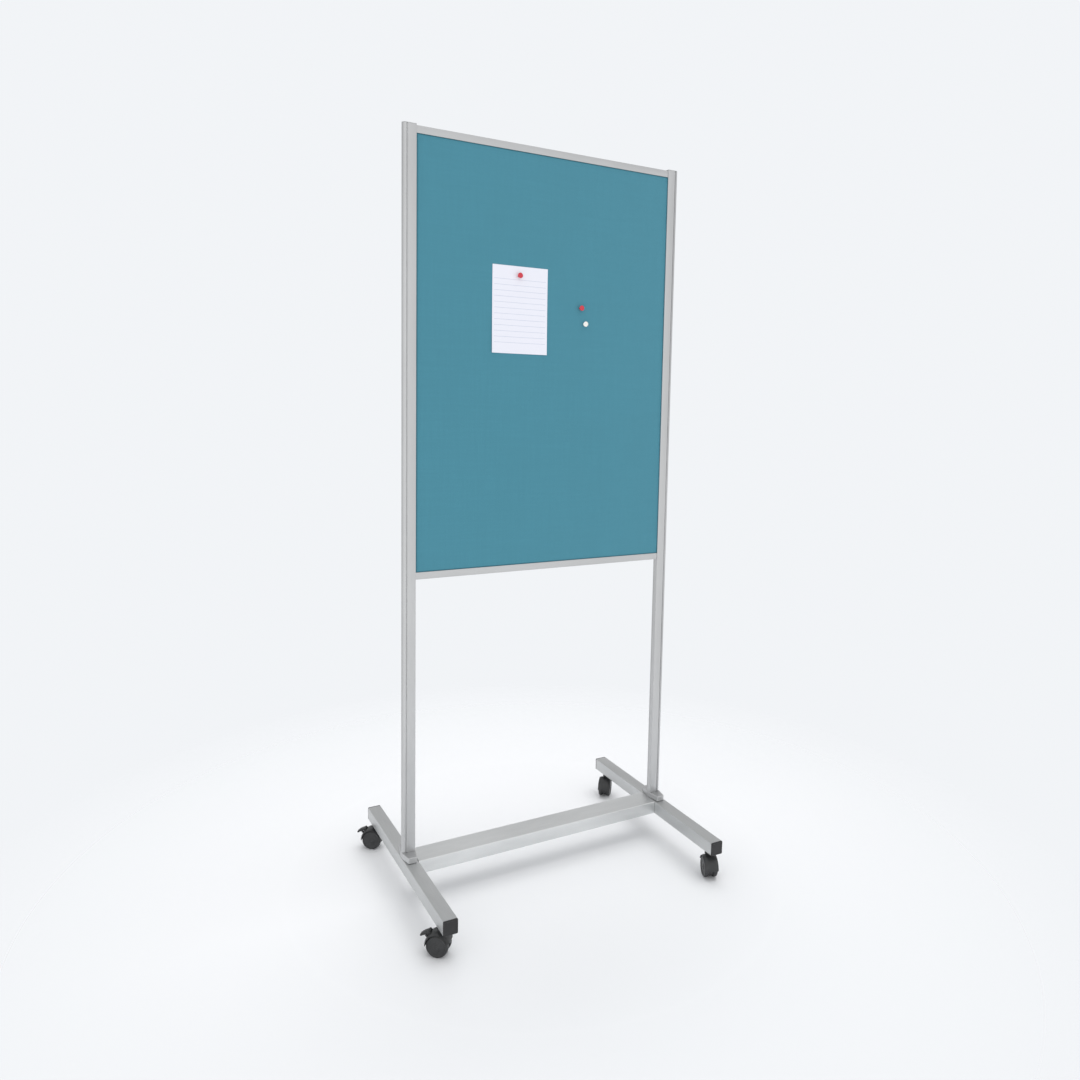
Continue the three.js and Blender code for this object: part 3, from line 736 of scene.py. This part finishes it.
def build_note():
    """A sheet held by one pin near its top: it stays flat there and its corners lift."""
    low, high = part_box("note_paper")
    width, height = high.x - low.x, high.z - low.z
    pin = (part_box("note_pin_head")[0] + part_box("note_pin_head")[1]) / 2
    bm = bmesh.new()
    columns, lines = 44, 62
    rows = []
    for j in range(lines + 1):
        v = j / lines
        row = []
        for i in range(columns + 1):
            u = i / columns
            x, z = low.x + width * u, low.z + height * v
            away = math.hypot((x - pin.x) / width, (z - pin.z) / height)
            corner = abs(2 * u - 1) ** 3
            lift = CURL * (corner * (1 - v) ** 2 + 0.35 * corner * v ** 6) * min(1, away * 1.5)
            ripple = 0.12 * MM * math.sin(u * 7 + 1) * math.sin(v * 5) * away
            row.append(bm.verts.new((x, high.y + FORWARD_FACE * (lift + 0.12 * MM + ripple), z)))
        rows.append(row)
    for below, above in zip(rows, rows[1:]):
        for i in range(columns):
            bm.faces.new((below[i], below[i + 1], above[i + 1], above[i]))
    page = make_piece("note_sheet", bm, "paper")
    thickness = page.modifiers.new("thickness", "SOLIDIFY")
    thickness.thickness = 0.18 * MM
    thickness.offset = -1
    place(page, "root", "paper", "note_paper")


def build_pin(name, finish):
    """Push pin head: flared foot, waist and domed top, turned about the push line."""
    cad_node = f"{name}_head"
    low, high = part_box(cad_node)
    tip = Matrix.Translation(((low.x + high.x) / 2, high.y, (low.z + high.z) / 2))
    outwards = tip @ Matrix.Rotation(math.pi / 2, 4, "X")
    profile = in_mm([
        (0, 3), (0.9, 3), (0.9, 0.1), (1.1, 0), (4.2, 0), (4.55, 0.25), (4.7, 0.9), (4.3, 1.5),
        (3.6, 2.1), (3.25, 3.2), (3.2, 4.6), (3.7, 5.9), (5.0, 7.0), (6.9, 7.9), (7.8, 8.5), (8, 9.2),
        (7.8, 9.9), (7.0, 10.6), (5.2, 11.2), (2.6, 11.55), (0, 11.6),
    ])
    bm = bmesh.new()
    add_turned(bm, profile, outwards, 36)
    place(make_piece(f"{name}_button", bm, finish), name, finish, cad_node)


# ---------------------------------------------------------------- castors


def castor_frame(name):
    """Matrix from the castor's own frame, x towards its closed side and y along its axle."""
    joints = {joint["name"]: joint for joint in frame["joints"]}
    swivel = joints[f"{name}_swivel"]["pos_m"]
    along = Vector(joints[f"{name}_roll_1"]["axis"]).normalized()
    ahead = along.cross(Vector((0, 0, 1)))
    turn = Matrix((ahead, along, Vector((0, 0, 1)))).transposed().to_4x4()
    return Matrix.Translation((swivel[0], swivel[1], 0)) @ turn


def build_wheel(name, number, local):
    """Tyre with a crowned tread and parting line, dished disc, and a hub cap."""
    profile = in_mm([
        (0, 16.7), (4.3, 16.7), (4.3, 6.9), (8, 6.9), (8.6, 7.6), (24, 7.6), (24.8, 6.9), (27.2, 6.9),
        (28.6, 7.6), (29.6, 8.7), (29.95, 10), (30, 12.5), (29.75, 12.8), (30, 13.1), (29.95, 15.7),
        (29.6, 17.3), (28.8, 18.7), (27.4, 19.9), (26.2, 20.4), (25.4, 20.4), (24.7, 20.0), (24.2, 19.1),
        (23.2, 18.7), (15, 18.4), (9.6, 18.5), (9.1, 18.7), (8.8, 19.2), (8.2, 19.5), (7, 19.8),
        (3.2, 20.0), (2.6, 19.8), (2.2, 19.4), (0, 19.3),
    ])
    outwards = 1 if number == 1 else -1
    axle = local @ Matrix.Translation((CASTOR_OFFSET, 0, WHEEL_RADIUS))
    bm = bmesh.new()
    add_turned(bm, profile, axle @ Matrix.Rotation(-outwards * math.pi / 2, 4, "X"), 64)
    cad_node = f"{name}_wheel_{number}"
    place(make_piece(f"{name}_tyre_{number}", bm, "castor_grey"), cad_node, "castor_grey", cad_node)


def about_axle(radius, degrees):
    """Point at a radius and an angle about the axle, in the castor's own x and z."""
    angle = math.radians(degrees)
    return CASTOR_OFFSET + radius * math.cos(angle), WHEEL_RADIUS + radius * math.sin(angle)


def crown(y):
    """Outer radius of the roof, level in the middle and falling towards its side edges."""
    share = max(0.0, (abs(y) - HOOD_CROWN_HALF) / (HOOD_HALF_WIDTH - HOOD_CROWN_HALF))
    return HOOD_OUTER - (HOOD_OUTER - HOOD_EDGE) * share ** 2.2


def hood_ring(angle, drop):
    """Cross-section of the roof at an angle about the axle: points in x, y, z of the castor."""
    steps = 20
    across = [HOOD_HALF_WIDTH * (1 - 2 * k / steps) for k in range(steps + 1)]
    outer = [(y, max(crown(y) - drop, HOOD_INNER + 0.4 * MM), 0) for y in across]
    half = HOOD_HALF_WIDTH
    section = rounded([(half, HOOD_INNER, 0.25 * MM)] + outer + [(-half, HOOD_INNER, 0.25 * MM)], 3)
    cosine, sine = math.cos(angle), math.sin(angle)
    return [Vector((CASTOR_OFFSET + r * cosine, y, WHEEL_RADIUS + r * sine)) for y, r in section]


def lug_outline():
    """Tab that rises from the roof round the lever's stub pin."""
    x, z = about_axle(LEVER_REACH, LEVER_ANGLE)
    turns = (math.radians(LEVER_ANGLE - 90 + 180 * k / 12) for k in range(13))
    arc = [(x + LUG_RADIUS * math.cos(turn), z + LUG_RADIUS * math.sin(turn)) for turn in turns]
    foot = HOOD_INNER + 2 * MM
    return [about_axle(foot, LEVER_ANGLE - 8)] + arc + [about_axle(foot, LEVER_ANGLE + 8)]


def build_hood(name, local, brake):
    bm = bmesh.new()
    steps = 56
    start, end = math.radians(HOOD_FROM), math.radians(HOOD_TO)
    end_round = 1.2 * MM / HOOD_OUTER
    stations = [start, start + end_round * 0.35, start + end_round]
    stations += [start + end_round + (end - start - 2 * end_round) * k / steps for k in range(1, steps)]
    stations += [end - end_round, end - end_round * 0.35, end]
    rings = []
    for k, angle in enumerate(stations):
        edge = min(k, len(stations) - 1 - k)
        drop = (0.9 * MM, 0.25 * MM)[edge] if edge < 2 else 0
        rings.append([bm.verts.new(local @ point) for point in hood_ring(angle, drop)])
    for near, far in zip(rings, rings[1:]):
        for i in range(len(near)):
            j = (i + 1) % len(near)
            bm.faces.new((near[i], near[j], far[j], far[i]))
    bm.faces.new(rings[0])
    bm.faces.new(rings[-1])

    axle = Vector((CASTOR_OFFSET, WHEEL_RADIUS))
    fan_from, fan_to, fan_reach = math.radians(40), math.radians(170), HOOD_INNER + 1 * MM
    plate = [
        (axle.x + fan_reach * math.cos(a), axle.y + fan_reach * math.sin(a))
        for a in (fan_from + (fan_to - fan_from) * k / 24 for k in range(25))
    ]
    plate += [
        (axle.x + WEB_DISC * math.cos(a), axle.y + WEB_DISC * math.sin(a))
        for a in (fan_to + (fan_from + 2 * math.pi - fan_to) * k / 24 for k in range(25))
    ]
    add_prism(bm, [plate], -WEB_HALF, WEB_HALF, local @ ALONG_Y)
    boss_profile = in_mm([
        (4.3, 64), (10.6, 64), (10.6, 65.5), (10.1, 67.2), (9.9, 69.0), (9.5, 69.8), (9, 70), (4.8, 70),
        (4.3, 69.6), (4.3, 64),
    ])
    add_turned(bm, boss_profile, local, 40)
    if brake:
        for sign in (-1, 1):
            near, far = sorted((sign * LUG_INNER, sign * LUG_OUTER))
            add_prism(bm, [lug_outline()], near, far, local @ ALONG_Y)
    cad_node = f"{name}_castor_hood"
    place(make_piece(f"{name}_shell", bm, "castor_grey"), f"{name}_swivel", "castor_grey", cad_node)


def build_lever(name, local):
    """Foot pedal: a thick blade with rounded edges, grip bars, its hub and its two prongs."""
    x, z = about_axle(LEVER_REACH, LEVER_ANGLE)
    side_view = rounded(in_mm([
        (38.5, 64.9, 2), (44, 64.3, 5), (52, 60.9, 10), (60, 55.9, 10), (65.4, 50.9, 1), (66.4, 48.9, 0.9),
        (65.2, 47.1, 0.9), (62.5, 47.2, 2), (56, 50.6, 5), (49.5, 51.8, 2), (46.5, 54.5, 1.5),
    ]) + [(x, z, 0)], 5)
    bm = bmesh.new()
    add_prism(bm, [side_view], -LEVER_HALF_WIDTH, LEVER_HALF_WIDTH, local @ ALONG_Y)
    first, last = Vector((54, 59.8)), Vector((63.6, 52.7))
    for share in (0, 0.33, 0.66, 1):
        spot = first.lerp(last, share) * MM
        bar = [(spot.x + 0.8 * MM * math.cos(a), spot.y + 0.8 * MM * math.sin(a))
               for a in (2 * math.pi * k / 16 for k in range(16))]
        add_prism(bm, [bar], -LEVER_HALF_WIDTH + 1.2 * MM, LEVER_HALF_WIDTH - 1.2 * MM, local @ ALONG_Y)
    pivot = local @ Matrix.Translation((x, 0, z)) @ Matrix.Rotation(math.pi / 2, 4, "X")
    hub = in_mm([
        (0, -9.5), (2.2, -9.5), (2.5, -9.2), (2.5, -6.7), (3.4, -6.7), (3.4, 6.7), (2.5, 6.7),
        (2.5, 9.2), (2.2, 9.5), (0, 9.5),
    ])
    add_turned(bm, hub, pivot, 24)
    lean = math.radians(PRONG_ANGLE)
    tangent = Vector((-math.sin(lean), math.cos(lean))) * PRONG_HALF
    prong_root = HOOD_OUTER + 5.5 * MM
    prong = []
    for radius, side in ((PRONG_TIP, -1), (prong_root, -1), (prong_root, 1), (PRONG_TIP, 1)):
        prong.append(tuple(Vector(about_axle(radius, PRONG_ANGLE)) + tangent * side))
    for sign in (-1, 1):
        near, far = sorted((sign * 5 * MM, sign * 11 * MM))
        add_prism(bm, [prong], near, far, local @ ALONG_Y)
    cad_node = f"{name}_brake_lever"
    piece = make_piece(f"{name}_pedal", bm, "castor_grey", 0.6 * MM, 3)
    place(piece, f"{name}_brake", "castor_grey", cad_node)


def build_stem(name, local):
    profile = in_mm([
        (0, 42), (3.6, 42), (4, 42.4), (4, 70.3), (8.4, 70.3), (9, 70.8), (9, 73.9), (8.4, 74.4),
        (5, 74.4), (5, 105.4), (4.4, 106), (0, 106),
    ])
    bm = bmesh.new()
    add_turned(bm, profile, local, 32)
    cad_node = f"{name}_castor_stem"
    place(make_piece(f"{name}_stem", bm, "zinc"), f"{name}_swivel", "steel", cad_node)

    profile = in_mm([
        (5.3, 74.7), (12.3, 74.7), (12.9, 75.2), (13, 76.2), (13, 77.7), (8, 77.7), (8, 103.6), (7.6, 104),
        (5.3, 104), (5.3, 74.7),
    ])
    bm = bmesh.new()
    add_turned(bm, profile, local, 40)
    cad_node = f"{name}_castor_socket"
    place(make_piece(f"{name}_socket", bm, "black_plastic"), "root", "black_plastic", cad_node)


def build_castor(name):
    local = castor_frame(name)
    brake = f"{name}_brake" in frame["bodies"]
    for number in (1, 2):
        build_wheel(name, number, local)
    build_hood(name, local, brake)
    build_stem(name, local)
    if brake:
        build_lever(name, local)


# ---------------------------------------------------------------- CAD pieces that stay

KEPT = {
    "softboard": "fibre",
    "backing_board": "fibre",
    "whiteboard_sheet": "enamel",
    "post_bolt": "zinc",
    "post_nut_block": "zinc",
    "castor_axle": "zinc",
    "needle": "zinc",
}


def finish_kept_nodes():
    for name, piece in frame["nodes"].items():
        for ending, finish in KEPT.items():
            if name.endswith(ending):
                piece.data.materials.clear()
                piece.data.materials.append(look[finish])


# ---------------------------------------------------------------- floor, light and backdrop

BACKDROP = (0.886, 0.905, 0.930, 1)
FLOOR_RADIUS = 9.0
FLOOR_SOLID = 0.75  # the floor fades into the backdrop from here to FLOOR_FADED
FLOOR_FADED = 1.7
FLOOR_COLOUR = (0.775, 0.785, 0.80, 1)
FRONT = (-0.35, -0.92, 0.18)  # the brighter side of the studio, which lights the board's face


def build_floor():
    bm = bmesh.new()
    bmesh.ops.create_circle(bm, cap_ends=True, radius=FLOOR_RADIUS, segments=96)
    mesh = bpy.data.meshes.new("floor")
    bm.to_mesh(mesh)
    bm.free()
    material, tree, shader = start_material("floor", Base_Color=FLOOR_COLOUR, Roughness=0.9)
    place_out = node(tree, "ShaderNodeTexCoord").outputs["Object"]
    away = node(tree, "ShaderNodeVectorMath", {0: place_out}, operation="LENGTH").outputs["Value"]
    faded = remapped(tree, away, 0.0, 1.0, FLOOR_SOLID, FLOOR_FADED)
    clear = node(tree, "ShaderNodeBsdfTransparent").outputs[0]
    blend = node(tree, "ShaderNodeMixShader", {0: faded, 1: shader.outputs[0], 2: clear})
    tree.links.new(blend.outputs[0], tree.nodes["Material Output"].inputs["Surface"])
    mesh.materials.append(material)
    floor = bpy.data.objects.new("floor", mesh)
    bpy.context.scene.collection.objects.link(floor)


def build_world():
    """Even pale studio: the camera sees the backdrop, metal and shadow see a dimmer ceiling."""
    world = bpy.data.worlds.new("studio")
    world.use_nodes = True
    bpy.context.scene.world = world
    tree = world.node_tree
    backdrop = tree.nodes["Background"]
    backdrop.inputs["Color"].default_value = BACKDROP
    direction = node(tree, "ShaderNodeTexCoord").outputs["Generated"]
    height = node(tree, "ShaderNodeSeparateXYZ", {"Vector": direction}).outputs["Z"]
    ramp = node(tree, "ShaderNodeValToRGB", {"Fac": height})
    stops = ramp.color_ramp.elements
    stops[0].position, stops[0].color = 0.0, (0.86, 0.87, 0.88, 1)
    stops[1].position, stops[1].color = 0.25, (0.70, 0.71, 0.72, 1)
    for position, level in ((0.45, 0.65), (0.75, 0.66), (1.0, 0.8)):
        stops.new(position).color = (level, level, level * 1.01, 1)
    facing = node(tree, "ShaderNodeVectorMath", {0: direction, 1: FRONT}, operation="DOT_PRODUCT")
    lobe = remapped(tree, facing.outputs["Value"], 0.0, 0.45, -0.1, 0.9)
    bright = mixed(tree, lobe, ramp.outputs["Color"], (1.6, 1.6, 1.6, 1))
    lit = node(tree, "ShaderNodeBackground", {"Color": bright, "Strength": 1.0})
    seen = node(tree, "ShaderNodeLightPath").outputs["Is Camera Ray"]
    choice = node(tree, "ShaderNodeMixShader", {0: seen, 1: lit.outputs[0], 2: backdrop.outputs[0]})
    tree.links.new(choice.outputs[0], tree.nodes["World Output"].inputs["Surface"])


def add_softbox(name, spot, aim, width, height, power):
    data = bpy.data.lights.new(name, "AREA")
    data.shape = "RECTANGLE"
    data.size, data.size_y = width, height
    data.energy = power
    add_lamp(data, spot, aim)


def add_lamp(data, spot, aim):
    lamp = bpy.data.objects.new(data.name, data)
    bpy.context.scene.collection.objects.link(lamp)
    lamp.location = spot
    lamp.rotation_euler = (Vector(aim) - Vector(spot)).to_track_quat("-Z", "Y").to_euler()
    lamp.visible_glossy = False  # the metal mirrors the even studio, not the lamps


def build_studio():
    build_floor()
    build_world()
    ceiling = bpy.data.lights.new("ceiling", "SUN")
    ceiling.energy = 1.22
    ceiling.angle = math.radians(50)
    add_lamp(ceiling, (0.6, 0.5, 3), (0, 0, 0))
    add_softbox("rear", (0.9, 3.2, 2.6), (0, 0, 1.4), 2.4, 2.0, 15)
    bpy.context.scene.view_settings.view_transform = "Standard"


# ---------------------------------------------------------------- assembly

add_camera()
for side in ("left", "right"):
    build_foot(side)
    for end in ("front", "rear"):
        build_end_cap(side, end)
    build_shoe(side)
    build_post(side)
build_beam()
for name in ("bottom", "top"):
    build_rail(name)
build_fabric()
build_note()
for name, finish in (("note_pin", "pin_red"), ("upper_pin", "pin_red"), ("lower_pin", "pin_white")):
    build_pin(name, finish)
for name in ("front_left", "rear_left", "front_right", "rear_right"):
    build_castor(name)
finish_kept_nodes()
build_studio()
